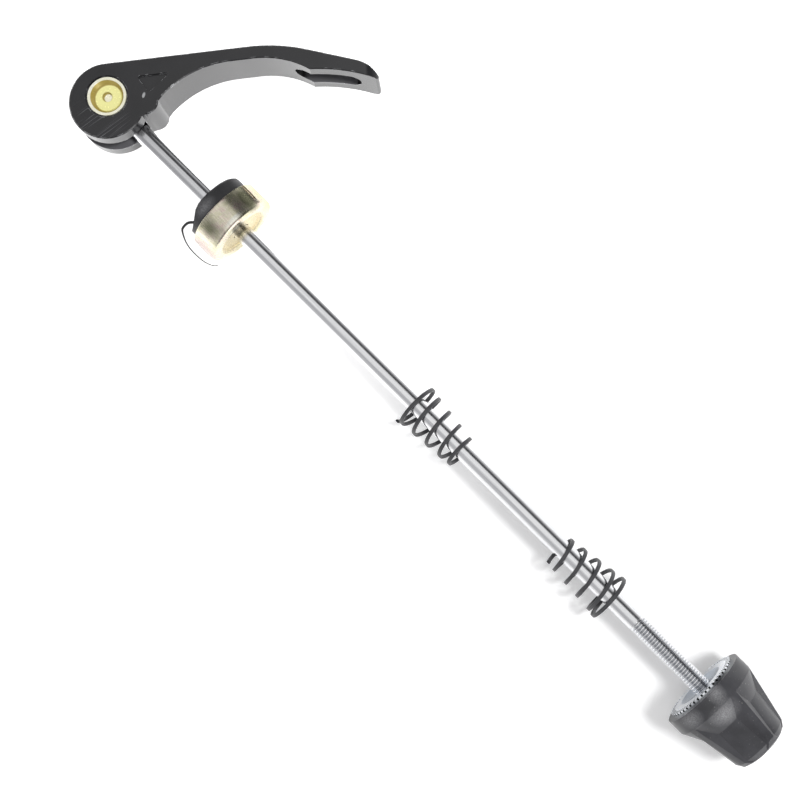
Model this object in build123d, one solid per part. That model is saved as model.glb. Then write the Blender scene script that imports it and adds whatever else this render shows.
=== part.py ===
from build123d import *
import os
from math import asin, cos, degrees, pi, radians, sin, sqrt

# Quick release skewer, in millimetres.
# +X runs along the rod from the lever's pivot to the nut, +Z is up, and the lever's tip is on the +Y side.
# The origin is where the pivot's axis crosses the rod's axis.

# Rod
rod_diameter = 4.8
thread_diameter = 4.95
thread_showing = 22.0
thread_in_nut = 11.0
rod_chamfer = 0.6
rod_socket_depth = 3.4

# Lever eye and fork
cam_radius = 10.25
cam_offset = 1.25
fork_width = 14.5
fork_slot_width = 5.6
lever_edge_chamfer = 0.25
arm_angle = 51.0
lever_swing = 220.0
rod_clearance = 0.35

# Lever arm, in the arm's own frame: x along its straight back, y away from the palm.
# The finger end is set out backwards from the tip, before the tip is rounded.
lever_length = 72.6
tip_y = -4.4
tip_radius = 0.7
bow_back = 34.4
bend_back = 18.6
bend_drop = 2.7
crown_length = 12.9
pad_middle_back = 10.6
pad_middle_rise = 3.95
catch_back = 18.6
catch_rise = 5.2
waist_start_x = 33.5
waist_length = 6.0
waist_y = 5.5
root_x = 14.6
root_y = -1.7
heel_top_x = 13.5
heel_top_y = -2.9
heel_nose_x = 12.7
heel_nose_y = -4.9
heel_bottom_x = 9.9
heel_bottom_y = -6.1
heel_angle = -30.0
tip_corner_radius = 4.5

# Finger pocket in the pad
finger_pocket_back = 5.6
finger_pocket_length = 17.4
finger_pocket_width = 6.4
finger_floor_start_y = 6.0
finger_floor_end_y = -0.1

# Three-cornered pocket in each cheek
cheek_pocket_top_y = 4.5
cheek_pocket_start_x = 8.4
cheek_pocket_end_x = 17.4
cheek_pocket_low_x = 11.1
cheek_pocket_low_y = -0.4
cheek_pocket_radius = 0.5
cheek_pocket_depth = 0.8

# Pivot pin
pin_diameter = 10.4
pin_clearance = 0.05
pin_recess = 0.1
pin_ring_width = 0.5
pin_ring_depth = 0.6
pin_cup_diameter = 9.0
pin_cup_floor_diameter = 7.2
pin_cup_depth = 0.9
pin_dimple_diameter = 2.6
pin_dimple_depth = 0.5

# Saddle and its steel cap
cap_radius = 10.6
cap_rim_x = 42.7
cap_length = 7.5
cap_wall = 1.2
cap_floor = 1.3
cap_corner = 0.9
cap_dish_diameter = 14.6
cap_dish_depth = 0.7
cap_bore = 5.5
cap_seam_width = 0.6
cap_seam_length = 5.4
cap_seam_depth = 0.35
cap_seam_angle = 55.0
saddle_clearance = 0.2
saddle_reach = 4.3
saddle_bore = 5.6
seat_clearance = 0.4
seat_depth = 2.2
seat_turn = 25.0
saddle_corner = 0.6

# Springs of flat wire, each with its large coil first. The end turns lie closer than the rest.
# A spring hangs on the rod, so that its large coil drops further than its small one.
spring_wire_width = 1.0
spring_wire_thickness = 0.65
spring_large_radius = 6.62
spring_small_radius = 4.32
spring_turns = 5.2
spring_pitch = 4.4
spring_end_pitch = 1.3
spring_large_end_turns = 1.0
spring_small_end_turns = 0.65
spring_steps_per_turn = 20
spring_droop = 6.0
spring_drop = 2.6
lever_spring_start = 113.9
lever_spring_turn = 180.0
lever_spring_lean = -1.7
lever_spring_side = -0.3
nut_spring_end = 185.6
nut_spring_turn = -72.0
nut_spring_lean = 1.5
nut_spring_side = -0.42

# Nut
nut_face_x = 215.8
nut_flange_radius = 10.2
nut_flange_thickness = 1.4
nut_flange_proud = 0.8
nut_dish_diameter = 13.0
nut_dish_depth = 0.8
nut_tooth_count = 48
nut_tooth_gap = 0.55
nut_tooth_length = 1.3
nut_tooth_depth = 0.5
nut_hex_width = 9.0
nut_insert_length = 13.0
thread_clearance = 0.03
nut_collar_radius = 11.9
nut_collar_length = 4.2
nut_length = 20.6
nut_ramp_length = 5.0
nut_ramp_radius = 9.3
nut_end_radius = 7.6
nut_end_corner = 1.8
nut_rib_count = 5
nut_rib_width = 1.9
nut_rib_depth = 4.0
nut_rib_end_radius = 7.9
nut_rib_turn = -21.5

# Sizes worked out from those above. A corner is eased by two bevels that meet on its round.
corner_ease = 1 - sqrt(0.5)
thread_start = nut_face_x - thread_showing
rod_end = nut_face_x + thread_in_nut
cap_face_x = cap_rim_x + cap_length
rod_radius = rod_diameter / 2
thread_radius = thread_diameter / 2
pin_radius = pin_diameter / 2
pin_length = fork_width - 2 * pin_recess
back_y = cam_radius - cam_offset
saddle_radius = cap_radius - cap_wall - saddle_clearance
saddle_front_x = cap_rim_x - saddle_reach
saddle_back_x = cap_face_x - cap_floor - saddle_clearance
seat_radius = cam_radius + seat_clearance
seat_bottom_x = saddle_front_x + seat_depth
nut_body_x = nut_face_x + nut_flange_proud
nut_end_x = nut_body_x + nut_length

# The lever rolls down about the rod until its tip is level with the bottom of the cap.
tip_side = lever_length * sin(radians(arm_angle)) + tip_y * cos(radians(arm_angle))
rest_roll = -degrees(asin((cap_radius - fork_width / 2) / tip_side))


# A cylinder on the rod's axis from one X to another.
def x_cylinder(radius, start, end):
    return Pos(start, 0, 0) * Rot(0, 90, 0) * extrude(Circle(radius), end - start)


# A solid turned about the rod's axis from (x, radius) corners.
def revolved(points):
    return revolve(Plane.XY * make_face(Polyline(points, close=True)), Axis.X)


# The side view of the lever, in the arm's frame.
def lever_outline():
    eye_top = (0, back_y)
    eye_back = (-cam_radius, -cam_offset)
    eye_heel = (cam_radius * cos(radians(heel_angle)), -cam_offset + cam_radius * sin(radians(heel_angle)))
    back_end = (lever_length - bow_back, back_y)
    bend = (lever_length - bend_back, back_y - bend_drop)
    tip = (lever_length, tip_y)
    pad_middle = (lever_length - pad_middle_back, tip_y + pad_middle_rise)
    catch = (lever_length - catch_back, tip_y + catch_rise)
    waist_end = (waist_start_x + waist_length, waist_y)
    waist_start = (waist_start_x, waist_y)
    root = (root_x, root_y)
    heel_top = (heel_top_x, heel_top_y)
    heel_nose = (heel_nose_x, heel_nose_y)
    heel_bottom = (heel_bottom_x, heel_bottom_y)
    back = Line(eye_top, back_end)
    outer_arc = TangentArc(back_end, bend, tangent=(1, 0))
    crown = PolarLine(bend, crown_length, direction=outer_arc % 1)
    nose_arc = TangentArc(crown @ 1, tip, tangent=crown % 1)
    pad_arc = ThreePointArc(tip, pad_middle, catch)
    front_arc = TangentArc(waist_end, catch, tangent=(1, 0))
    waist = Line(waist_end, waist_start)
    rear_arc = TangentArc(waist_start, root, tangent=(-1, 0))
    notch = Line(root, heel_top)
    heel_arc = ThreePointArc(heel_top, heel_nose, heel_bottom)
    heel_edge = Line(heel_bottom, eye_heel)
    eye_arc = ThreePointArc(eye_heel, eye_back, eye_top)
    upper = [back, outer_arc, crown, nose_arc, pad_arc]
    lower = [front_arc, waist, rear_arc, notch, heel_arc, heel_edge, eye_arc]
    face = make_face(upper + lower)
    return fillet(face.vertices().sort_by(Axis.X)[-1], tip_radius)


# The gap between the cheeks, walled where the rod lies at each end of the lever's swing.
def fork_slot():
    gap = rod_radius + rod_clearance
    folded = radians(-arm_angle)
    opened = radians(-arm_angle - lever_swing)
    corner_turn = (folded - opened - 2 * pi) / 2
    middle = (folded + opened + 2 * pi) / 2
    apex_distance = gap / sin(-corner_turn)
    apex = (apex_distance * cos(middle), apex_distance * sin(middle))
    reach = 3 * cam_radius
    folded_end = (apex[0] + reach * cos(folded), apex[1] + reach * sin(folded))
    opened_end = (apex[0] + reach * cos(opened), apex[1] + reach * sin(opened))
    outline = Polyline([apex, opened_end, (-reach, reach), (-reach, -reach), folded_end], close=True)
    return extrude(make_face(outline), fork_slot_width / 2, both=True)


# The long pocket in the finger pad, with a sloping floor.
def finger_pocket():
    length = finger_pocket_length
    end = lever_length - finger_pocket_back
    start = end - length
    floor = [(start, finger_floor_start_y), (end, finger_floor_end_y)]
    floor += [(end, -fork_width), (start, -fork_width)]
    depth = extrude(make_face(Polyline(floor, close=True)), fork_width, both=True)
    slot = Plane.XZ * Pos(start + length / 2, 0) * SlotOverall(length, finger_pocket_width)
    return depth & extrude(slot, 2 * fork_width, both=True)


# The shallow three-cornered pocket in the upper cheek.
def cheek_pocket():
    top_start = (cheek_pocket_start_x, cheek_pocket_top_y)
    top_end = (cheek_pocket_end_x, cheek_pocket_top_y)
    low = (cheek_pocket_low_x, cheek_pocket_low_y)
    face = make_face(Polyline([top_start, top_end, low], close=True))
    face = fillet(face.vertices(), cheek_pocket_radius)
    return Pos(0, 0, fork_width / 2 - cheek_pocket_depth) * extrude(face, 2 * cheek_pocket_depth)


def make_lever():
    lever = extrude(lever_outline(), fork_width / 2, both=True)
    sides = lever.faces().filter_by(Axis.Z)
    lever = chamfer(sides.edges(), lever_edge_chamfer)
    plan_length = 2 * lever_length
    plan = Plane.XZ * RectangleRounded(plan_length, fork_width, tip_corner_radius)
    lever = lever & extrude(plan, plan_length, both=True)
    lever -= fork_slot()
    lever -= Cylinder(pin_radius + pin_clearance, 2 * fork_width)
    ring = Cylinder(pin_radius + pin_ring_width, 2 * pin_ring_depth)
    lever -= Pos(0, 0, fork_width / 2) * ring
    lever -= Pos(0, 0, -fork_width / 2) * ring
    pocket = cheek_pocket()
    lever -= pocket
    lever -= mirror(pocket, about=Plane.XY)
    lever -= finger_pocket()
    return Rot(0, 0, arm_angle) * lever


def make_pivot_pin():
    pin = Cylinder(pin_radius, pin_length)
    cup = Cone(pin_cup_floor_diameter / 2, pin_cup_diameter / 2, pin_cup_depth)
    dimple = Cylinder(pin_dimple_diameter / 2, 2 * pin_dimple_depth)
    end = Pos(0, 0, pin_length / 2 - pin_cup_depth / 2) * cup
    end += Pos(0, 0, pin_length / 2 - pin_cup_depth) * dimple
    pin -= end
    pin -= mirror(end, about=Plane.XY)
    pin -= x_cylinder(rod_radius, -rod_socket_depth, pin_diameter)
    return pin


def make_rod():
    rod = x_cylinder(rod_radius, -rod_socket_depth, thread_start)
    thread = x_cylinder(thread_radius, thread_start, rod_end)
    thread = chamfer(thread.edges().sort_by(Axis.X)[-1], rod_chamfer)
    return rod + thread


def make_saddle():
    saddle = x_cylinder(saddle_radius, saddle_front_x, saddle_back_x)
    saddle = chamfer(saddle.edges().sort_by(Axis.X)[0], saddle_corner)
    seat = Rot(90, 0, 0) * Cylinder(seat_radius, 4 * saddle_radius)
    saddle -= Pos(seat_bottom_x - seat_radius, 0, 0) * seat
    saddle -= x_cylinder(saddle_bore / 2, 0, cap_face_x)
    return Rot(-seat_turn, 0, 0) * saddle


# A drawn cup, with the bevels of its corner and its dish in one profile.
def make_cap():
    inner_radius = cap_radius - cap_wall
    dish_radius = cap_dish_diameter / 2
    dish_x = cap_face_x - cap_dish_depth
    floor_x = cap_face_x - cap_floor
    ease = cap_corner * corner_ease
    rim = [(cap_rim_x, inner_radius), (cap_rim_x, cap_radius), (cap_face_x - cap_corner, cap_radius)]
    corner = [(cap_face_x - ease, cap_radius - ease), (cap_face_x, cap_radius - cap_corner)]
    dish = [(cap_face_x, dish_radius), (dish_x, dish_radius - cap_dish_depth), (dish_x, cap_bore / 2)]
    floor = [(floor_x, cap_bore / 2), (floor_x, inner_radius)]
    cup = revolved(rim + corner + dish + floor)
    seam_run = cap_seam_length - cap_seam_width / 2
    seam = Pos(cap_rim_x + seam_run / 2, 0, cap_radius) * Box(seam_run, cap_seam_width, 2 * cap_seam_depth)
    seam += Pos(cap_rim_x + seam_run, 0, cap_radius) * Cylinder(cap_seam_width / 2, 2 * cap_seam_depth)
    return cup - Rot(-cap_seam_angle, 0, 0) * seam


# A conical spring on the rod's axis, with its large coil at X zero and closer turns at its ends.
def make_spring():
    count = round(spring_turns * spring_steps_per_turn)
    wire = Rectangle(spring_wire_width, spring_wire_thickness)
    sections = []
    x = spring_wire_width / 2
    for step in range(count + 1):
        turn = step / spring_steps_per_turn
        radius = spring_large_radius - spring_wire_thickness / 2
        radius += (spring_small_radius - spring_large_radius) * step / count
        sections.append(Rot(360 * turn, 0, 0) * Pos(x, radius, 0) * wire)
        end_turn = turn < spring_large_end_turns or turn > spring_turns - spring_small_end_turns
        x += (spring_end_pitch if end_turn else spring_pitch) / spring_steps_per_turn
    return loft(sections, ruled=True)


def make_nut_insert():
    flange_back = nut_face_x + nut_flange_thickness
    insert = x_cylinder(nut_flange_radius, nut_face_x, flange_back)
    hexagon = RegularPolygon(nut_hex_width / 2, 6, major_radius=False)
    hex_length = nut_insert_length - nut_flange_thickness
    insert += Pos(flange_back, 0, 0) * Rot(0, 90, 0) * extrude(hexagon, hex_length)
    dish_radius = nut_dish_diameter / 2
    dish_bottom = nut_face_x + nut_dish_depth
    dish = [(nut_face_x, 0), (nut_face_x, dish_radius), (dish_bottom, thread_radius), (dish_bottom, 0)]
    insert -= revolved(dish)
    insert -= x_cylinder(thread_radius + thread_clearance, nut_face_x, nut_face_x + nut_insert_length)
    tooth_radius = nut_flange_radius - nut_tooth_length / 2
    gap = Pos(nut_face_x, 0, tooth_radius) * Box(2 * nut_tooth_depth, nut_tooth_gap, 1.2 * nut_tooth_length)
    gaps = [Rot(360 * tooth / nut_tooth_count, 0, 0) * gap for tooth in range(nut_tooth_count)]
    return insert - gaps


# A turned nut body: its collar, the corners of its side, and an end eased by two bevels.
def nut_turned(side, end_radius):
    ease = nut_end_corner * corner_ease
    foot_x, foot_radius = side[-1]
    taper = (foot_radius - end_radius) / (nut_end_x - foot_x)
    collar = [(nut_body_x, 0), (nut_body_x, nut_collar_radius)]
    rim = [(nut_end_x - nut_end_corner, end_radius + nut_end_corner * taper)]
    end = [(nut_end_x - ease, end_radius - ease), (nut_end_x, end_radius - nut_end_corner), (nut_end_x, 0)]
    return revolved(collar + side + rim + end)


# A bar with sloping walls, along the line from the edge of the collar to the rim of the end.
def nut_rib(shoulder_x):
    width = nut_rib_width / 2
    depth = nut_rib_depth
    crown = width / 2
    sections = []
    for x, top in [(shoulder_x, nut_collar_radius), (nut_end_x, nut_rib_end_radius)]:
        left = [(-width - depth, top - depth), (crown - width, top + crown)]
        right = [(width - crown, top + crown), (width + depth, top - depth)]
        sections.append(Plane.YZ.offset(x) * make_face(Polyline(left + right, close=True)))
    return loft(sections, ruled=True)


# The grip sinks below the collar in a ramp, and straight ribs run on from the collar to the end.
def make_nut_cap():
    shoulder_x = nut_body_x + nut_collar_length
    shoulder = (shoulder_x, nut_collar_radius)
    nut = nut_turned([shoulder, (shoulder_x + nut_ramp_length, nut_ramp_radius)], nut_end_radius)
    rib = nut_rib(shoulder_x) & nut_turned([shoulder], nut_rib_end_radius)
    for turn in range(nut_rib_count):
        nut += Rot(nut_rib_turn + 360 * turn / nut_rib_count, 0, 0) * rib
    flange_back = nut_face_x + nut_flange_thickness
    nut -= x_cylinder(nut_flange_radius, nut_body_x, flange_back)
    hexagon = RegularPolygon(nut_hex_width / 2, 6, major_radius=False)
    hex_length = nut_insert_length - nut_flange_thickness
    nut -= Pos(flange_back, 0, 0) * Rot(0, 90, 0) * extrude(hexagon, hex_length)
    return nut


spring = make_spring()
lever_spring = Rot(0, -spring_droop, 0) * Rot(lever_spring_turn, 0, 0) * spring
lever_spring = Rot(0, 0, lever_spring_lean) * lever_spring
lever_spring = Pos(lever_spring_start, lever_spring_side, -spring_drop) * lever_spring
nut_spring = Rot(0, spring_droop, 0) * Rot(0, 0, 180) * Rot(nut_spring_turn, 0, 0) * spring
nut_spring = Rot(0, 0, nut_spring_lean) * nut_spring
nut_spring = Pos(nut_spring_end, nut_spring_side, -spring_drop) * nut_spring
at_rest = Rot(rest_roll, 0, 0)

parts = {
    "lever": at_rest * make_lever(),
    "pivot_pin": at_rest * make_pivot_pin(),
    "skewer_rod": make_rod(),
    "saddle": make_saddle(),
    "saddle_cap": make_cap(),
    "spring_lever_side": lever_spring,
    "spring_nut_side": nut_spring,
    "nut_cap": make_nut_cap(),
    "nut_insert": make_nut_insert(),
}

os.makedirs("parts", exist_ok=True)
for name, solid in parts.items():
    export_step(solid, "parts/" + name + ".step")
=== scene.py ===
import math
import bpy
import numpy as np
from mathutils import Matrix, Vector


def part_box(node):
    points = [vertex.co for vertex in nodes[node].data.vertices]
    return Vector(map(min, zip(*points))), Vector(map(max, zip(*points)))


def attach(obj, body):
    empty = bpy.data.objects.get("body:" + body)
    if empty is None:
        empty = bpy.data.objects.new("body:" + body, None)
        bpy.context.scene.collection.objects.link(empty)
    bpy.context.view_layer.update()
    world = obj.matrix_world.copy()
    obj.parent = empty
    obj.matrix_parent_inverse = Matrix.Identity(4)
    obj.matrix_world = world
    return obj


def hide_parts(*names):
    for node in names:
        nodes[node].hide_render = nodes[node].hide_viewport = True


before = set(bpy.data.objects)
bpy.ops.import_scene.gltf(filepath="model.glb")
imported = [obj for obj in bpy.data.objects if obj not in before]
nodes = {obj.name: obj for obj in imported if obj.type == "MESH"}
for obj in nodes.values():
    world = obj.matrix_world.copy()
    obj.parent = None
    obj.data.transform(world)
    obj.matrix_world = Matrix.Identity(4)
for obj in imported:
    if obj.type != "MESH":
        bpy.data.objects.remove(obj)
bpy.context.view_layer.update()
scene = bpy.context.scene
scene.view_settings.view_transform = "Standard"
mm = 0.001  # in metres; sizes and places below are in millimetres unless a note says metres
perMetre = 1000  # a pattern's scale is this over its size
print("loaded", len(nodes), "solids")


# sRGB hex to linear colour: the two-part sRGB curve on each channel
def toLinear(hexColour):
    channels = [int(hexColour[i:i + 2], 16) / 255 for i in (1, 3, 5)]
    return [c / 12.92 if c <= 0.04045 else ((c + 0.055) / 1.055) ** 2.4 for c in channels] + [1.0]


# One node with its settings and links. A setting is an attribute or an input, and hex text is a colour.
# A colour Mix node takes its factor on input 0 and its colours on 6 and 7, and gives the mix on output 2.
def addNode(tree, kind, settings=None, links=None):
    node = tree.nodes.new(kind)
    for key, value in (settings or {}).items():
        if isinstance(value, str) and value.startswith("#"):
            value = toLinear(value)
        if isinstance(key, str) and hasattr(node, key):
            setattr(node, key, value)
        else:
            node.inputs[key].default_value = value
    for key, output in (links or {}).items():
        tree.links.new(output, node.inputs[key])
    return node


# colour stops for a ramp node, as (place, hex) pairs
def setStops(ramp, stops):
    elements = ramp.color_ramp.elements
    while len(elements) < len(stops):
        elements.new(0.5)
    for element, (place, hexColour) in zip(elements, stops):
        element.position = place
        element.color = toLinear(hexColour)


# an empty node material with its shader and output joined
def newMaterial(name, shaderSettings):
    material = bpy.data.materials.new(name)
    material.use_nodes = True
    tree = material.node_tree
    tree.nodes.clear()
    output = addNode(tree, "ShaderNodeOutputMaterial")
    shader = addNode(tree, "ShaderNodeBsdfPrincipled", shaderSettings)
    tree.links.new(shader.outputs["BSDF"], output.inputs["Surface"])
    coords = addNode(tree, "ShaderNodeTexCoord")
    return material, tree, shader, coords.outputs["Object"]


# joins a colour, a roughness and a relief to the shader
def dressShader(tree, shader, colour, rough, bump):
    tree.links.new(colour, shader.inputs["Base Color"])
    tree.links.new(rough.outputs["Result"], shader.inputs["Roughness"])
    tree.links.new(bump.outputs["Normal"], shader.inputs["Normal"])


# 1 within a ball or a drawn-out ball, out to its solid share, then falling to 0 at its edge
def addSpot(tree, place, middle, size, turn=0.0, solid=0.6):
    inBall = addNode(tree, "ShaderNodeMapping",
                     {"vector_type": "TEXTURE", "Location": [v * mm for v in middle],
                      "Rotation": (0, 0, math.radians(turn)), "Scale": [v * mm for v in size]},
                     {"Vector": place})
    fromMiddle = addNode(tree, "ShaderNodeVectorMath", {"operation": "LENGTH"},
                         {0: inBall.outputs["Vector"]})
    spot = addNode(tree, "ShaderNodeMapRange", {"From Min": 1.0, "From Max": solid},
                   {"Value": fromMiddle.outputs["Value"]})
    return spot.outputs["Result"]


# distance from the rod's axis, which is X
def addAxisDistance(tree, place):
    across = addNode(tree, "ShaderNodeVectorMath", {"operation": "MULTIPLY", 1: (0, 1, 1)}, {0: place})
    distance = addNode(tree, "ShaderNodeVectorMath", {"operation": "LENGTH"},
                       {0: across.outputs["Vector"]})
    return distance.outputs["Value"]


# the start of a black finish: clouds that drift between two shades and two glosses, and a fine raised grain
def addClouds(tree, place, s):
    clouds = addNode(tree, "ShaderNodeTexNoise", {"Scale": perMetre / s["cloudMm"], "Detail": 3.0},
                     {"Vector": place})
    colour = addNode(tree, "ShaderNodeMix", {"data_type": "RGBA", 6: s["dark"], 7: s["light"]},
                     {0: clouds.outputs["Fac"]})
    rough = addNode(tree, "ShaderNodeMapRange", {"To Min": s["rough"][0], "To Max": s["rough"][1]},
                    {"Value": clouds.outputs["Fac"]})
    grain = addNode(tree, "ShaderNodeTexNoise", {"Scale": perMetre / s["grainMm"], "Detail": 2.0},
                    {"Vector": place})
    bump = addNode(tree, "ShaderNodeBump", {"Strength": s["grainBump"], "Distance": s["grainDepth"] * mm},
                   {"Height": grain.outputs["Fac"]})
    return colour.outputs[2], rough, bump, grain


# Black e-coat on a forged alloy lever: near-black film that turns pale at a grazing look, faint orange peel,
# rubbed lines beside the eye, painted light in the pocket and fork, bare bright metal where an edge is
# knocked
leverCoat = dict(
    ior=1.62, dark="#1c1c1d", light="#29292b", cloudMm=7.0, rough=(0.15, 0.25),
    grainMm=0.35, grainBump=0.1, grainDepth=0.02,
    rub="#5a5a5d", rubMm=(16.0, 0.28, 6.0), rubTurn=-82.0, rubRange=(0.57, 0.68), rubShare=0.8,
    rubPlace=(3.6, -6.0, 7.0), rubReach=9.0,
    # the next colour and spots are painted light on the shaded floors of the finger pocket and the fork
    paintedLight="#626265", paintedLightTurn=41.0, paintedLightSolid=0.8,
    paintedLightSpots=[((36.4, 46.4, -6.0), (8.5, 3.4, 1.2)), ((6.8, -7.8, -2.3), (8.5, 3.6, 0.8))],
    bare="#d3d4d6", edgeMm=0.22, edgeMatch=(0.995, 0.9), nickMm=1.6, nickRange=(0.51, 0.59),
    chipPlace=(6.9, 7.5, 6.8), chipSize=(0.42, 0.9, 0.6), chipTurn=30.0)


def makeLeverCoat(s):
    material, tree, shader, place = newMaterial("black e-coat on forged alloy", {"IOR": s["ior"]})
    shown, rough, bump, _ = addClouds(tree, place, s)
    # rubbed lines beside the eye: noise drawn out along one direction
    turned = addNode(tree, "ShaderNodeMapping", {"Rotation": (0, 0, math.radians(s["rubTurn"]))},
                     {"Vector": place})
    drawn = addNode(tree, "ShaderNodeMapping", {"Scale": [perMetre / size for size in s["rubMm"]]},
                    {"Vector": turned.outputs["Vector"]})
    lines = addNode(tree, "ShaderNodeTexNoise", {"Scale": 1.0, "Detail": 2.0},
                    {"Vector": drawn.outputs["Vector"]})
    lines = addNode(tree, "ShaderNodeMapRange",
                    {"From Min": s["rubRange"][0], "From Max": s["rubRange"][1], "To Max": s["rubShare"]},
                    {"Value": lines.outputs["Fac"]})
    besideEye = addSpot(tree, place, s["rubPlace"], [s["rubReach"]] * 3)
    rubbed = addNode(tree, "ShaderNodeMath", {"operation": "MULTIPLY"},
                     {0: lines.outputs["Result"], 1: besideEye})
    shown = addNode(tree, "ShaderNodeMix", {"data_type": "RGBA", 7: s["rub"]},
                    {0: rubbed.outputs["Value"], 6: shown}).outputs[2]
    # painted light: a lighter colour on the floors of the finger pocket and of the fork, which lie in shade
    for middle, size in s["paintedLightSpots"]:
        brightened = addSpot(tree, place, middle, size, s["paintedLightTurn"], s["paintedLightSolid"])
        shown = addNode(tree, "ShaderNodeMix", {"data_type": "RGBA", 7: s["paintedLight"]},
                        {0: brightened, 6: shown}).outputs[2]
    # an edge is where a rounded normal leaves the true one, and it is worn where the nicks are
    rounded = addNode(tree, "ShaderNodeBevel", {"samples": 4, "Radius": s["edgeMm"] * mm})
    geometry = addNode(tree, "ShaderNodeNewGeometry")
    match = addNode(tree, "ShaderNodeVectorMath", {"operation": "DOT_PRODUCT"},
                    {0: rounded.outputs["Normal"], 1: geometry.outputs["Normal"]})
    edge = addNode(tree, "ShaderNodeMapRange",
                   {"From Min": s["edgeMatch"][0], "From Max": s["edgeMatch"][1]},
                   {"Value": match.outputs["Value"]})
    nicks = addNode(tree, "ShaderNodeTexNoise", {"Scale": perMetre / s["nickMm"], "Detail": 4.0},
                    {"Vector": place})
    nicks = addNode(tree, "ShaderNodeMapRange",
                    {"From Min": s["nickRange"][0], "From Max": s["nickRange"][1]},
                    {"Value": nicks.outputs["Fac"]})
    worn = addNode(tree, "ShaderNodeMath", {"operation": "MULTIPLY"},
                   {0: edge.outputs["Result"], 1: nicks.outputs["Result"]})
    # one chip on the cheek
    chip = addSpot(tree, place, s["chipPlace"], s["chipSize"], s["chipTurn"])
    bare = addNode(tree, "ShaderNodeMath", {"operation": "MAXIMUM"}, {0: worn.outputs["Value"], 1: chip})
    shown = addNode(tree, "ShaderNodeMix", {"data_type": "RGBA", 7: s["bare"]},
                    {0: bare.outputs["Value"], 6: shown}).outputs[2]
    tree.links.new(bare.outputs["Value"], shader.inputs["Metallic"])
    dressShader(tree, shader, shown, rough, bump)
    return material


# Yellow chromate on zinc plate: pale gold with drifting green and pink tints, a fine satin, and deeper gold
# in the hollows. Each stain is its middle, its size, its solid share and its colour, laid on in this order.
# some stains are painted shade, painted light and painted reflections, as their notes say
yellowZinc = dict(tintMm=3.0, speckMm=0.5, speckBump=0.1, speckDepth=0.02)
pinZinc = dict(
    yellowZinc, metal=0.2, rough=(0.16, 0.34),
    stops=[(0.30, "#efecd0"), (0.5, "#f6f4de"), (0.68, "#fbfaee")],
    stainsAndPaintedLight=[((0.0, 0.42, 6.7), (4.55, 4.55, 3.0), 0.97, "#ad9a50"),  # painted shade on the wall of the cup
            ((0.55, 0.42, 6.3), (3.75, 3.75, 3.0), 0.93, "#fcf8aa"),  # painted light on its floor
            ((-0.1, 0.4, 6.0), (1.5, 1.5, 1.2), 0.85, "#b3a35c"),  # painted shade on the wall of the dimple
            ((0.2, 0.4, 5.8), (1.15, 1.15, 1.2), 0.85, "#fffbe0"),  # painted light on its floor
            ((0.0, -0.42, -6.7), (4.55, 4.55, 3.0), 0.97, "#fff7b4")])  # cup at the far end
capZinc = dict(
    yellowZinc, metal=1.0, rough=(0.18, 0.36),
    stops=[(0.28, "#dadabc"), (0.42, "#efe9cb"), (0.52, "#f8f1da"), (0.62, "#f6e2d6"), (0.74, "#e6e7c8")],
    hollow="#cdb57c", hollowMm=(6.4, 7.6), hollowShare=0.85,
    brush=0.22, brushMm=(2.5, 0.3, 0.3), brushRange=(0.35, 0.65),
    stainsAndPaintedLight=[((50.4, 0.0, 0.0), (1.6, 12.0, 12.0), 0.4, "#d3c9a6"),  # end face
            ((46.5, 7.0, 8.0), (5.5, 3.4, 3.4), 0.4, "#7f7f68"),  # painted dark reflection: olive beside the seam
            ((45.6, -5.2, 9.2), (3.4, 3.0, 2.4), 0.2, "#a6a68a"),  # paler olive across from it
            ((48.8, 1.2, 10.5), (0.9, 4.5, 1.4), 0.4, "#fffdf0"),  # painted highlight at the bright start of the shoulder
            ((46.5, 11.0, 0.5), (7.0, 4.0, 7.0), 0.4, "#d0c298"),  # yellow beyond the seam
            ((46.5, -10.5, 2.5), (7.0, 4.0, 7.0), 0.4, "#cdbcb4"),  # pink low on the other side
            ((49.4, -1.0, 5.6), (1.2, 5.0, 1.6), 0.4, "#77764f"),  # painted dark reflection: dark crescent at the top of the dish
            ((44.9, 8.68, 6.08), (3.5, 0.62, 0.62), 0.8, "#8a6a48"),  # painted shade along the brown edges of the seam
            ((44.8, 8.68, 6.08), (3.4, 0.36, 0.36), 0.7, "#fff0cc")])  # its pale floor


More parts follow.
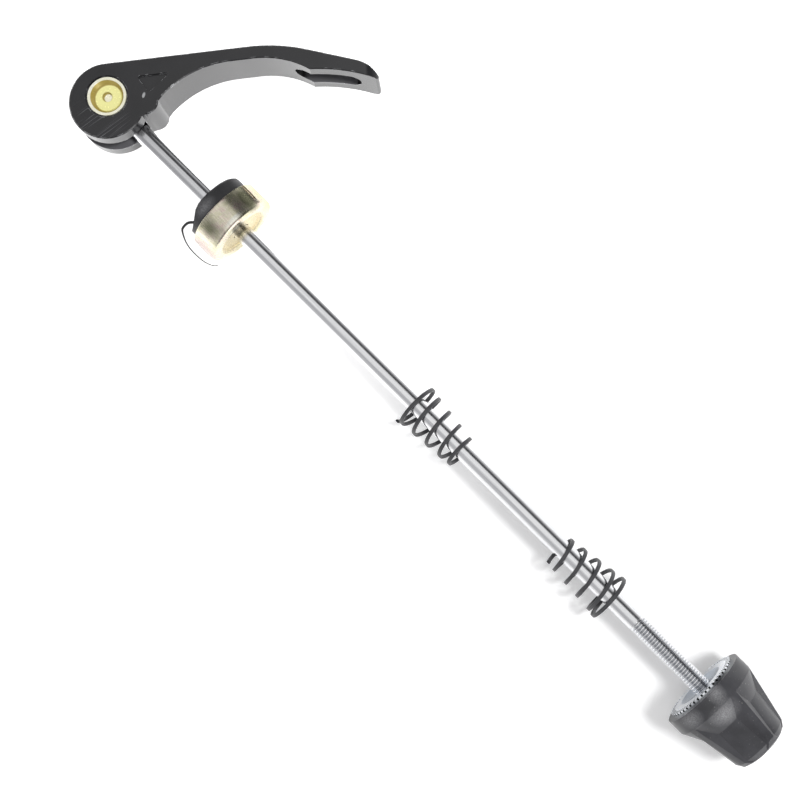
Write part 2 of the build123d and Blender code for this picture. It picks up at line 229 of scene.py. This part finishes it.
def makeYellowZinc(name, s):
    material, tree, shader, place = newMaterial(name, {"Metallic": s["metal"]})
    tints = addNode(tree, "ShaderNodeTexNoise",
                    {"Scale": perMetre / s["tintMm"], "Detail": 3.0, "Roughness": 0.6}, {"Vector": place})
    colour = addNode(tree, "ShaderNodeValToRGB", None, {"Fac": tints.outputs["Fac"]})
    setStops(colour, s["stops"])
    shown = colour.outputs["Color"]
    if "hollow" in s:
        inner, outer = s["hollowMm"]
        inside = addNode(tree, "ShaderNodeMapRange",
                         {"From Min": outer * mm, "From Max": inner * mm, "To Max": s["hollowShare"]},
                         {"Value": addAxisDistance(tree, place)})
        shown = addNode(tree, "ShaderNodeMix", {"data_type": "RGBA", 7: s["hollow"]},
                        {0: inside.outputs["Result"], 6: shown}).outputs[2]
    # each spot lays on a colour: some are real tints, others painted shade, light and reflections
    for middle, size, solid, spotColour in s["stainsAndPaintedLight"]:
        spotShare = addSpot(tree, place, middle, size, solid=solid)
        shown = addNode(tree, "ShaderNodeMix", {"data_type": "RGBA", 7: spotColour},
                        {0: spotShare, 6: shown}).outputs[2]
    if "brush" in s:
        # short streaks along the rod from drawing the cup, coarser than the real ones so that they show
        drawn = addNode(tree, "ShaderNodeMapping", {"Scale": [perMetre / size for size in s["brushMm"]]},
                        {"Vector": place})
        streaks = addNode(tree, "ShaderNodeTexNoise", {"Scale": 1.0, "Detail": 4.0},
                          {"Vector": drawn.outputs["Vector"]})
        streaks = addNode(tree, "ShaderNodeMapRange",
                          {"From Min": s["brushRange"][0], "From Max": s["brushRange"][1],
                           "To Min": 1 - s["brush"]}, {"Value": streaks.outputs["Fac"]})
        shown = addNode(tree, "ShaderNodeMix", {"data_type": "RGBA", "blend_type": "MULTIPLY", 0: 1.0},
                        {6: shown, 7: streaks.outputs["Result"]}).outputs[2]
    specks = addNode(tree, "ShaderNodeTexNoise", {"Scale": perMetre / s["speckMm"], "Detail": 3.0},
                     {"Vector": place})
    rough = addNode(tree, "ShaderNodeMapRange", {"To Min": s["rough"][0], "To Max": s["rough"][1]},
                    {"Value": specks.outputs["Fac"]})
    bump = addNode(tree, "ShaderNodeBump", {"Strength": s["speckBump"], "Distance": s["speckDepth"] * mm},
                   {"Height": specks.outputs["Fac"]})
    dressShader(tree, shader, shown, rough, bump)
    return material


# Bright zinc on drawn steel: silver-blue with small dull pits. The rod has fine lines along it from drawing,
# coarser than the real ones so that they show, and greyer thread roots. The nut's face has faint clouds in
# place of lines, a bluer dish darkened as painted shade, and painted shade between its teeth.
rodZinc = dict(
    dark="#d6d7da", light="#fafafb", lineMm=(14.0, 0.25, 0.25), ripple=0.15, rippleDepth=0.02,
    pitMm=0.7, rough=(0.10, 0.28), root="#d0d2d6", rootMm=(2.08, 2.30))
faceZinc = dict(
    dark="#dfe4ea", light="#f6f8fa", lineMm=(1.5, 1.5, 1.5), ripple=0.04, rippleDepth=0.02,
    # the dish colour is bluer zinc, darkened as painted shade in the recess
    pitMm=0.6, rough=(0.12, 0.30), dish="#b0b8c2", dishMm=(6.3, 6.7),
    # the next colour is painted shade in the gaps between the teeth
    toothGapShade="#34363a", toothMm=9.4, toothReach=0.7, gapX=(215.9, 216.1))


def makeBrightZinc(name, s):
    material, tree, shader, place = newMaterial(name, {"Metallic": 1.0})
    drawn = addNode(tree, "ShaderNodeMapping", {"Scale": [perMetre / size for size in s["lineMm"]]},
                    {"Vector": place})
    lines = addNode(tree, "ShaderNodeTexNoise", {"Scale": 1.0, "Detail": 4.0},
                    {"Vector": drawn.outputs["Vector"]})
    shown = addNode(tree, "ShaderNodeMix", {"data_type": "RGBA", 6: s["dark"], 7: s["light"]},
                    {0: lines.outputs["Fac"]}).outputs[2]
    pits = addNode(tree, "ShaderNodeTexNoise", {"Scale": perMetre / s["pitMm"], "Detail": 4.0},
                   {"Vector": place})
    rough = addNode(tree, "ShaderNodeMapRange", {"To Min": s["rough"][0], "To Max": s["rough"][1]},
                    {"Value": pits.outputs["Fac"]})
    bump = addNode(tree, "ShaderNodeBump", {"Strength": s["ripple"], "Distance": s["rippleDepth"] * mm},
                   {"Height": lines.outputs["Fac"]})
    fromAxis = addAxisDistance(tree, place)
    if "root" in s:
        inner, outer = s["rootMm"]
        deep = addNode(tree, "ShaderNodeMapRange", {"From Min": outer * mm, "From Max": inner * mm},
                       {"Value": fromAxis})
        shown = addNode(tree, "ShaderNodeMix", {"data_type": "RGBA", 7: s["root"]},
                        {0: deep.outputs["Result"], 6: shown}).outputs[2]
    # the dish is bluer, and darker as painted shade in the recess
    if "dish" in s:
        inner, outer = s["dishMm"]
        inside = addNode(tree, "ShaderNodeMapRange", {"From Min": outer * mm, "From Max": inner * mm},
                         {"Value": fromAxis})
        shown = addNode(tree, "ShaderNodeMix", {"data_type": "RGBA", 7: s["dish"]},
                        {0: inside.outputs["Result"], 6: shown}).outputs[2]
        # painted shade lies in the ring of teeth, where the surface is deeper than their tops
        amongTeeth = addNode(tree, "ShaderNodeMath",
                             {"operation": "COMPARE", 1: s["toothMm"] * mm, 2: s["toothReach"] * mm},
                             {0: fromAxis})
        parts = addNode(tree, "ShaderNodeSeparateXYZ", None, {"Vector": place})
        deep = addNode(tree, "ShaderNodeMapRange",
                       {"From Min": s["gapX"][0] * mm, "From Max": s["gapX"][1] * mm},
                       {"Value": parts.outputs["X"]})
        gap = addNode(tree, "ShaderNodeMath", {"operation": "MULTIPLY"},
                      {0: amongTeeth.outputs["Value"], 1: deep.outputs["Result"]})
        shown = addNode(tree, "ShaderNodeMix", {"data_type": "RGBA", 7: s["toothGapShade"]},
                        {0: gap.outputs["Value"], 6: shown}).outputs[2]
    dressShader(tree, shader, shown, rough, bump)
    return material


# Moulded black nylon, and black paint on the springs: a soft satin, cloudy where the tool was smooth, with
# a few pale specks of dust. The nylon has scuffs, each a middle and a size, mottled more coarsely than the
# real ones so that they show.
satinBlack = dict(
    ior=1.5, grainBump=0.12, grainDepth=0.03, speck="#a9a8a6", speckShare=0.5,
    mottleMm=0.35, mottleRange=(0.35, 0.65), mottleShare=(0.3, 0.75), scuffSolid=0.2)
saddleNylon = dict(
    satinBlack, dark="#262627", light="#363638", cloudMm=4.0, rough=(0.42, 0.58), grainMm=0.3,
    speckRange=(0.72, 0.77), scuff="#7c7c7e", scuffs=[((40.6, -2.6, 8.8), (2.2, 4.4, 2.2))])
gripNylon = dict(
    satinBlack, dark="#262628", light="#505054", cloudMm=6.0, rough=(0.28, 0.44), grainMm=0.4,
    speckRange=(0.70, 0.75), scuff="#8e8e90",
    scuffs=[((217.8, 1.4, 11.5), (3.2, 2.6, 2.4)), ((222.6, -0.4, 10.6), (3.6, 5.0, 3.0)),
            ((218.4, -7.4, 9.2), (3.0, 4.2, 3.6))])
springPaint = dict(
    satinBlack, dark="#38383a", light="#4a4a4d", cloudMm=2.5, rough=(0.32, 0.48), grainMm=0.25,
    speckRange=(0.80, 0.85))


def makeSatinBlack(name, s):
    material, tree, shader, place = newMaterial(name, {"IOR": s["ior"]})
    shown, rough, bump, grain = addClouds(tree, place, s)
    specks = addNode(tree, "ShaderNodeMapRange",
                     {"From Min": s["speckRange"][0], "From Max": s["speckRange"][1],
                      "To Max": s["speckShare"]}, {"Value": grain.outputs["Fac"]})
    shown = addNode(tree, "ShaderNodeMix", {"data_type": "RGBA", 7: s["speck"]},
                    {0: specks.outputs["Result"], 6: shown}).outputs[2]
    if "scuffs" in s:
        mottle = addNode(tree, "ShaderNodeTexNoise", {"Scale": perMetre / s["mottleMm"], "Detail": 4.0},
                         {"Vector": place})
        mottle = addNode(tree, "ShaderNodeMapRange",
                         {"From Min": s["mottleRange"][0], "From Max": s["mottleRange"][1],
                          "To Min": s["mottleShare"][0], "To Max": s["mottleShare"][1]},
                         {"Value": mottle.outputs["Fac"]})
        for middle, size in s["scuffs"]:
            rubbed = addSpot(tree, place, middle, size, solid=s["scuffSolid"])
            scuffed = addNode(tree, "ShaderNodeMath", {"operation": "MULTIPLY"},
                              {0: mottle.outputs["Result"], 1: rubbed})
            shown = addNode(tree, "ShaderNodeMix", {"data_type": "RGBA", 7: s["scuff"]},
                            {0: scuffed.outputs["Value"], 6: shown}).outputs[2]
    dressShader(tree, shader, shown, rough, bump)
    return material


finishes = {
    "lever": makeLeverCoat(leverCoat),
    "pivot_pin": makeYellowZinc("yellow chromate on the pin", pinZinc),
    "saddle_cap": makeYellowZinc("yellow chromate on the cap", capZinc),
    "skewer_rod": makeBrightZinc("bright zinc on drawn steel", rodZinc),
    "nut_insert": makeBrightZinc("bright zinc on the nut face", faceZinc),
    "saddle": makeSatinBlack("moulded black nylon saddle", saddleNylon),
    "nut_cap": makeSatinBlack("moulded black nylon grip", gripNylon),
    "spring_lever_side": makeSatinBlack("black paint on spring wire", springPaint),
}
finishes["spring_nut_side"] = finishes["spring_lever_side"]
for nodeName, finish in finishes.items():
    nodes[nodeName].data.materials.clear()
    nodes[nodeName].data.materials.append(finish)
print("finished", len(finishes), "solids")


# a smooth mesh from a grid of points: columns go round it and close on themselves, rows run along it and are
# either capped at both ends or closed into a loop
def gridMesh(name, grid, looped=False):
    rows, columns = grid.shape[:2]
    index = np.arange(rows * columns).reshape(rows, columns)
    ahead = np.roll(index, -1, axis=1)
    if looped:
        near, far = index, np.roll(index, -1, axis=0)
        nearAhead, farAhead = ahead, np.roll(ahead, -1, axis=0)
    else:
        near, far = index[:-1], index[1:]
        nearAhead, farAhead = ahead[:-1], ahead[1:]
    faces = np.stack([near, nearAhead, farAhead, far], axis=-1).reshape(-1, 4).tolist()
    if not looped:
        faces += [index[0][::-1].tolist(), index[-1].tolist()]
    mesh = bpy.data.meshes.new(name)
    mesh.from_pydata(grid.reshape(-1, 3).tolist(), [], faces)
    mesh.polygons.foreach_set("use_smooth", np.full(len(faces), True))
    mesh.update()
    piece = bpy.data.objects.new(name, mesh)
    scene.collection.objects.link(piece)
    return piece


# a built piece takes a finish, the place of a CAD node if it has one, and a body
def seat(piece, finish, body, node=None):
    piece.data.materials.append(finish)
    if node:
        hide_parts(node)
    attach(piece, body)
    print(piece.name, len(piece.data.polygons), "faces")


# The rod and its rolled thread. Radius against distance along the rod: plain to the thread's start, then a
# trapezoid wave whose phase moves one pitch for each turn round the rod, growing from nothing over the
# run-out, and a chamfer at the end. rootShare and flankShare are the wave's flat root and its slope, as
# parts of half a pitch.
rodLow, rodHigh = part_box("skewer_rod")
rodSizes = dict(
    start=rodLow.x / mm, end=rodHigh.x / mm, radius=2.4, chamfer=0.6,
    threadStart=193.8, crest=rodHigh.z / mm, root=2.02, pitch=0.8, runOut=1.0,
    rootShare=0.15, flankShare=0.45, around=64, plainRows=60, perPitch=14)


def makeRod(s):
    plain = np.linspace(s["start"], s["threadStart"] - s["pitch"], s["plainRows"])
    steps = int((s["end"] - plain[-1]) / s["pitch"] * s["perPitch"])
    along = np.concatenate([plain, np.linspace(plain[-1], s["end"], steps + 1)[1:]])
    turn = np.arange(s["around"]) / s["around"]
    x, t = np.meshgrid(along, turn, indexing="ij")
    phase = np.mod((x - s["threadStart"]) / s["pitch"] - t, 1.0)
    fromRoot = np.abs(phase - 0.5) * 2
    height = np.clip((fromRoot - s["rootShare"]) / s["flankShare"], 0, 1)
    thread = s["root"] + (s["crest"] - s["root"]) * height
    grown = np.clip((x - s["threadStart"] + s["runOut"] / 2) / s["runOut"], 0, 1)
    radius = s["radius"] + (thread - s["radius"]) * grown
    radius = np.minimum(radius, s["crest"] - np.clip(x - s["end"] + s["chamfer"], 0, None))
    angle = 2 * np.pi * t
    grid = np.stack([x, radius * np.cos(angle), radius * np.sin(angle)], axis=-1) * mm
    return gridMesh("threadedRod", grid)


seat(makeRod(rodSizes), finishes["skewer_rod"], "skewer", "skewer_rod")

# The drawn steel cap, turned about the rod from a closed profile of (x, radius, easing) corners. Each corner
# is a quadratic curve from its own easing before it to the same after it. The seam is pressed in: the radius
# drops where the distance round the rim from the seam's line is less than half its width.
capLow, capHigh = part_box("saddle_cap")
capSizes = dict(
    rimX=capLow.x / mm, faceX=capHigh.x / mm, radius=capHigh.y / mm, wall=1.2, floor=1.3, bore=2.5,
    dishRadius=7.3, dishDepth=0.7, lip=0.3, corner=1.3, dishEase=0.5, floorEase=0.8, boreEase=0.1,
    seamAngle=55.0, seamWidth=0.6, seamLength=5.4, seamDepth=0.12, seamSlope=0.08,
    around=900, perBend=7, wallRows=40)


def makeCap(s):
    inner = s["radius"] - s["wall"]
    floorX = s["faceX"] - s["floor"]
    dishX = s["faceX"] - s["dishDepth"]
    corners = np.array([
        (floorX, s["bore"], s["boreEase"]), (floorX, inner, s["floorEase"]),
        (s["rimX"], inner, s["lip"]), (s["rimX"], s["radius"], s["lip"]),
        (s["faceX"], s["radius"], s["corner"]), (s["faceX"], s["dishRadius"], s["dishEase"]),
        (dishX, s["dishRadius"] - s["dishDepth"], s["dishEase"]), (dishX, s["bore"], s["boreEase"])])
    points, ease = corners[:, :2], corners[:, 2:]
    before = np.roll(points, 1, axis=0) - points
    after = np.roll(points, -1, axis=0) - points
    before = points + ease * before / np.linalg.norm(before, axis=1, keepdims=True)
    after = points + ease * after / np.linalg.norm(after, axis=1, keepdims=True)
    t = np.linspace(0, 1, s["perBend"])[None, :, None]
    bends = (1 - t) ** 2 * before[:, None] + 2 * t * (1 - t) * points[:, None] + t ** 2 * after[:, None]
    # the outer wall, from the fourth corner to the fifth, is split so that the seam's end has rows to bend
    wall = np.linspace(after[3], before[4], s["wallRows"])[1:-1]
    profile = np.concatenate([bends[:4].reshape(-1, 2), wall, bends[4:].reshape(-1, 2)])[::-1]
    angle = 2 * np.pi * np.arange(s["around"]) / s["around"]
    x, a = np.meshgrid(profile[:, 0], angle, indexing="ij")
    radius = np.repeat(profile[:, 1:], s["around"], axis=1)
    fromSeam = (np.mod(a - math.radians(s["seamAngle"]) + np.pi, 2 * np.pi) - np.pi) * s["radius"]
    pastEnd = np.clip(x - s["rimX"] - s["seamLength"] + s["seamWidth"] / 2, 0, None)
    reach = s["seamWidth"] / 2 - np.hypot(fromSeam, pastEnd)
    pressed = np.clip(reach / s["seamSlope"], 0, 1) * (radius > s["radius"] - s["lip"])
    radius = radius - s["seamDepth"] * pressed
    grid = np.stack([x, radius * np.sin(a), radius * np.cos(a)], axis=-1) * mm
    return gridMesh("drawnCap", grid, looped=True)


seat(makeCap(capSizes), finishes["saddle_cap"], "cap", "saddle_cap")

# A conical spring of flat wire. The radius falls evenly from the large coil to the small one, the distance
# along the rod is the running sum of the pitch, and the wire's section is a squared-off oval, a cosine and a
# sine each raised to a power. It hangs on the rod: the whole grid dips about Y and leans about Z from its
# large end.
springSizes = dict(
    width=1.0, thick=0.65, largeRadius=6.62, smallRadius=4.32, turns=5.2, pitch=4.4, endPitch=1.3,
    largeEnd=1.0, smallEnd=0.65, blend=0.1, squareness=0.35, perTurn=72, around=20)
leverSpring = dict(place=(113.9, -0.3, -2.6), roll=180.0, facing=1, dip=-6.0, lean=-1.7)
nutSpring = dict(place=(185.6, -0.42, -2.6), roll=-72.0, facing=-1, dip=6.0, lean=1.5)


def makeSpring(name, s, spot):
    turn = np.linspace(0, s["turns"], int(s["turns"] * s["perTurn"]) + 1)
    opens, closes = s["largeEnd"], s["turns"] - s["smallEnd"]
    changes = [opens - s["blend"], opens + s["blend"], closes - s["blend"], closes + s["blend"]]
    pitch = np.interp(turn, changes, [s["endPitch"], s["pitch"], s["pitch"], s["endPitch"]])
    steps = (pitch[1:] + pitch[:-1]) / 2 * np.diff(turn)
    along = s["width"] / 2 + np.concatenate([[0], np.cumsum(steps)])
    middle = s["largeRadius"] + (s["smallRadius"] - s["largeRadius"]) * turn / s["turns"] - s["thick"] / 2
    section = 2 * np.pi * np.arange(s["around"]) / s["around"]
    wide = s["width"] / 2 * np.sign(np.cos(section)) * np.abs(np.cos(section)) ** s["squareness"]
    deep = s["thick"] / 2 * np.sign(np.sin(section)) * np.abs(np.sin(section)) ** s["squareness"]
    radius = middle[:, None] + deep
    angle = 2 * np.pi * turn[:, None] + math.radians(spot["roll"])
    x = spot["facing"] * (along[:, None] + wide)
    y = spot["facing"] * radius * np.cos(angle)
    z = radius * np.sin(angle)
    dip, lean = math.radians(spot["dip"]), math.radians(spot["lean"])
    x, z = x * math.cos(dip) + z * math.sin(dip), z * math.cos(dip) - x * math.sin(dip)
    x, y = x * math.cos(lean) - y * math.sin(lean), x * math.sin(lean) + y * math.cos(lean)
    return gridMesh(name, (np.stack([x, y, z], axis=-1) + spot["place"]) * mm)


for side, spot in [("lever", leverSpring), ("nut", nutSpring)]:
    spring = makeSpring(side + "SpringWire", springSizes, spot)
    seat(spring, finishes["spring_lever_side"], side + "_spring", "spring_" + side + "_side")

# A thin black strand that loops out from the saddle and trails down beside the cap, thinning to its end.
# Its middle line is a cubic through each place in turn, whose slope there is half the step between its
# neighbours. Its section is a circle across that line, set out from a reference direction that the line
# never takes.
strandSizes = dict(
    places=[(40.3, -6.8, 5.0), (39.0, -8.2, 4.6), (38.75, -9.8, 4.2), (39.1, -10.8, 3.6),
            (40.7, -12.1, 1.5), (42.1, -12.8, -1.0), (43.9, -13.1, -3.8), (46.0, -13.0, -6.5),
            (47.8, -12.3, -8.6), (48.8, -11.2, -9.8)],
    radii=[(0.0, 0.40), (0.25, 0.34), (0.45, 0.19), (1.0, 0.11)],  # share of the length, radius
    reference=(0.3, 0.3, 0.9), along=140, around=12)


def makeStrand(s):
    places = np.array(s["places"])
    t = np.linspace(0, 1, s["along"])
    step = np.minimum((t * (len(places) - 1)).astype(int), len(places) - 2)
    u = (t * (len(places) - 1) - step)[:, None]
    ends = np.concatenate([2 * places[:1] - places[1:2], places, 2 * places[-1:] - places[-2:-1]])
    p0, p1, p2, p3 = ends[step], ends[step + 1], ends[step + 2], ends[step + 3]
    second = u ** 2 * (2 * p0 - 5 * p1 + 4 * p2 - p3)
    third = u ** 3 * (3 * p1 - p0 - 3 * p2 + p3)
    line = p1 + (u * (p2 - p0) + second + third) / 2
    ahead = np.gradient(line, axis=0)
    ahead /= np.linalg.norm(ahead, axis=1, keepdims=True)
    side = np.cross(ahead, s["reference"])
    side /= np.linalg.norm(side, axis=1, keepdims=True)
    up = np.cross(side, ahead)
    radius = np.interp(t, *np.transpose(s["radii"]))[:, None, None]
    section = (2 * np.pi * np.arange(s["around"]) / s["around"])[None, ::-1, None]
    grid = line[:, None] + radius * (np.cos(section) * side[:, None] + np.sin(section) * up[:, None])
    return gridMesh("blackStrand", grid * mm)


seat(makeStrand(strandSizes), finishes["saddle"], "saddle")

# White studio floor, tipped to touch the nut's collar and the cap as the part lies. half and glowX are in
# metres.
floorSizes = dict(
    half=3.0, nutX=219.0, nutZ=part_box("nut_cap")[0].z / mm, capX=43.0, capZ=-capSizes["radius"],
    colour="#f2f2f2", glow=(0.9, 0.26), glowX=(0.03, 0.15))


def makeFloor(s):
    slope = (s["nutZ"] - s["capZ"]) / (s["nutX"] - s["capX"])
    level = (s["capZ"] - slope * s["capX"]) * mm
    half = s["half"]
    corners = np.array([(-half, -half), (half, -half), (half, half), (-half, half)])
    heights = level + slope * corners[:, 0]
    mesh = bpy.data.meshes.new("floor")
    mesh.from_pydata(np.column_stack([corners, heights]).tolist(), [], [(0, 1, 2, 3)])
    floor = bpy.data.objects.new("floor", mesh)
    scene.collection.objects.link(floor)
    material = bpy.data.materials.new("matt white paper")
    material.use_nodes = True
    tree = material.node_tree
    tree.nodes.clear()
    output = addNode(tree, "ShaderNodeOutputMaterial")
    paper = addNode(tree, "ShaderNodeBsdfDiffuse", {"Color": s["colour"]})
    # a glow that is stronger towards the lever's end and takes the shadow away there
    coords = addNode(tree, "ShaderNodeTexCoord")
    parts = addNode(tree, "ShaderNodeSeparateXYZ", None, {"Vector": coords.outputs["Object"]})
    strength = addNode(tree, "ShaderNodeMapRange",
                       {"From Min": s["glowX"][0], "From Max": s["glowX"][1],
                        "To Min": s["glow"][0], "To Max": s["glow"][1]}, {"Value": parts.outputs["X"]})
    glow = addNode(tree, "ShaderNodeEmission", {"Color": "#ffffff"},
                   {"Strength": strength.outputs["Result"]})
    lit = addNode(tree, "ShaderNodeAddShader", None,
                  {0: paper.outputs["BSDF"], 1: glow.outputs["Emission"]})
    # the glow shows to the camera and in reflections, and lights nothing else
    path = addNode(tree, "ShaderNodeLightPath")
    seen = addNode(tree, "ShaderNodeMath", {"operation": "MAXIMUM"},
                   {0: path.outputs["Is Camera Ray"], 1: path.outputs["Is Glossy Ray"]})
    seen = addNode(tree, "ShaderNodeMath", {"operation": "MAXIMUM"},
                   {0: seen.outputs["Value"], 1: path.outputs["Is Transmission Ray"]})
    shown = addNode(tree, "ShaderNodeMixShader", None,
                    {0: seen.outputs["Value"], 1: paper.outputs["BSDF"], 2: lit.outputs["Shader"]})
    tree.links.new(shown.outputs["Shader"], output.inputs["Surface"])
    mesh.materials.append(material)


makeFloor(floorSizes)

# The room: a white ceiling with one dark wall on the lever's side and one grey wall opposite, which draw
# the long bands on the rod, dimmer ends, and a window past the nut's end. Places run from 0 to 1: in walls
# round the rod's axis, with 0.5 straight up, and in ends from the lever's end to the nut's.
roomSizes = dict(
    walls=[(0.25, "#ffffff"), (0.285, "#f8f8f8"), (0.31, "#cacacc"), (0.40, "#c4c4c6"), (0.442, "#ffffff"),
           (0.568, "#ffffff"), (0.588, "#58585a"), (0.645, "#505052"), (0.69, "#b4b4b6"),
           (0.735, "#ffffff")],
    ends=[(0.0, "#a8a8aa"), (0.28, "#b0b0b2"), (0.38, "#ffffff"), (0.62, "#ffffff"), (0.72, "#8a8a8c"),
          (0.82, "#8a8a8c"), (0.92, "#ffffff")],
    strength=0.9, window=3.0, windowX=(0.80, 0.92))  # windowX is how far a direction leans along the rod


def makeRoom(s):
    world = bpy.data.worlds.new("studio")
    scene.world = world
    world.use_nodes = True
    tree = world.node_tree
    tree.nodes.clear()
    output = addNode(tree, "ShaderNodeOutputWorld")
    coords = addNode(tree, "ShaderNodeTexCoord")
    parts = addNode(tree, "ShaderNodeSeparateXYZ", None, {"Vector": coords.outputs["Generated"]})
    around = addNode(tree, "ShaderNodeMath", {"operation": "ARCTAN2"},
                     {0: parts.outputs["Y"], 1: parts.outputs["Z"]})
    around = addNode(tree, "ShaderNodeMapRange", {"From Min": -math.pi, "From Max": math.pi},
                     {"Value": around.outputs["Value"]})
    walls = addNode(tree, "ShaderNodeValToRGB", None, {"Fac": around.outputs["Result"]})
    setStops(walls, s["walls"])
    along = addNode(tree, "ShaderNodeMapRange", {"From Min": -1.0, "From Max": 1.0},
                    {"Value": parts.outputs["X"]})
    ends = addNode(tree, "ShaderNodeValToRGB", None, {"Fac": along.outputs["Result"]})
    setStops(ends, s["ends"])
    room = addNode(tree, "ShaderNodeMix", {"data_type": "RGBA", "blend_type": "MULTIPLY", 0: 1.0},
                   {6: walls.outputs["Color"], 7: ends.outputs["Color"]})
    window = addNode(tree, "ShaderNodeMapRange",
                     {"From Min": s["windowX"][0], "From Max": s["windowX"][1],
                      "To Min": s["strength"], "To Max": s["window"]}, {"Value": parts.outputs["X"]})
    light = addNode(tree, "ShaderNodeBackground", None,
                    {"Color": room.outputs[2], "Strength": window.outputs["Result"]})
    tree.links.new(light.outputs["Background"], output.inputs["Surface"])


makeRoom(roomSizes)

# A soft disc lamp overhead, which reflections leave out. Its places and size are in metres.
keyLight = dict(place=(0.42, 0.29, 0.85), target=(0.15, 0.0, 0.0), size=0.22, watts=6.0)


def addLamp(name, s):
    lamp = bpy.data.lights.new(name, "AREA")
    lamp.shape = "DISK"
    lamp.size = s["size"]
    lamp.energy = s["watts"]
    holder = bpy.data.objects.new(name, lamp)
    scene.collection.objects.link(holder)
    x, y, z = np.array(s["place"]) - np.array(s["target"])
    holder.location = s["place"]
    holder.rotation_euler = (math.atan2(math.hypot(x, y), z), 0, math.atan2(x, -y))
    holder.visible_glossy = False


addLamp("keyLight", keyLight)

# Camera nearly straight above, turned so that the rod runs down to the right. Its place and clipStart are in
# metres.
cameraSizes = dict(
    place=(0.15177, 0.00557, 0.36111), turnDegrees=(3.660, 5.423, 44.848),
    lens=63.0, sensor=36.0, clipStart=0.01)


def addCamera(s):
    cameraData = bpy.data.cameras.new("camera")
    cameraData.lens = s["lens"]
    cameraData.sensor_width = s["sensor"]
    cameraData.clip_start = s["clipStart"]
    camera = bpy.data.objects.new("camera", cameraData)
    camera.location = s["place"]
    camera.rotation_euler = [math.radians(angle) for angle in s["turnDegrees"]]
    scene.collection.objects.link(camera)
    scene.camera = camera


addCamera(cameraSizes)
print("floor, light and camera set")
